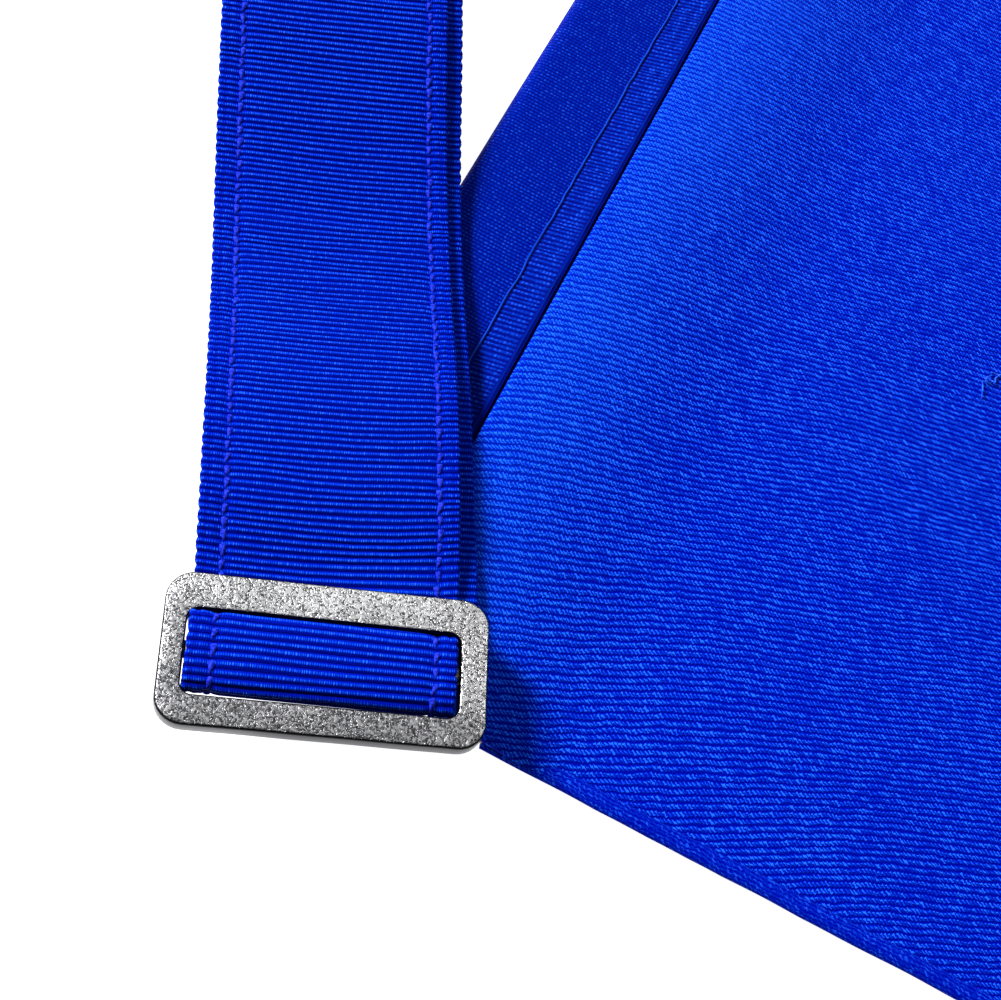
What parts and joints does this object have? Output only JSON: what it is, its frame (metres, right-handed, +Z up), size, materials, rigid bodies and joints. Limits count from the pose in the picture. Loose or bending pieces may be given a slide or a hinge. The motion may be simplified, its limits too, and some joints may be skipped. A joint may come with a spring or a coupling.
{
  "type": "masonic apron",
  "caption": "Ceremonial waist apron lying lining side up: blue twill back, ribbed ribbon borders, and a doubled strap whose end wraps round a cast metal slider at the corner.",
  "frame": {"origin": "on the centre line, on the flap's front face that the apron lies on, 80 mm below the waist edge", "axes": "+Y towards the waist edge, +X towards the corner with the slider, +Z up out of the lining side"},
  "size_m": [0.62, 0.3726, 0.0143],
  "materials": {
    "leather": "plain white thin leather, soft matt",
    "twill": "royal blue twill with a soft sheen",
    "border_ribbon": "darker blue fine-ribbed ribbon",
    "strap_ribbon": "blue coarse-ribbed strap with two stitch rows",
    "cast_metal": "cast metal, dull nickel with fine dark pits"
  },
  "bodies": {
    "root": {"front_field": "leather", "lining": "twill", "border_left": "border_ribbon", "border_right": "border_ribbon", "border_bottom": "border_ribbon", "tape_left": "border_ribbon", "tape_right": "border_ribbon", "tape_bottom": "border_ribbon", "waist_hem": "twill", "flap": "leather", "flap_border_left": "border_ribbon", "flap_border_right": "border_ribbon", "belt_adjustable": "strap_ribbon", "belt_short": "strap_ribbon", "slider": "cast_metal", "belt_hook": "cast_metal", "belt_ring": "cast_metal"}
  },
  "joints": []
}
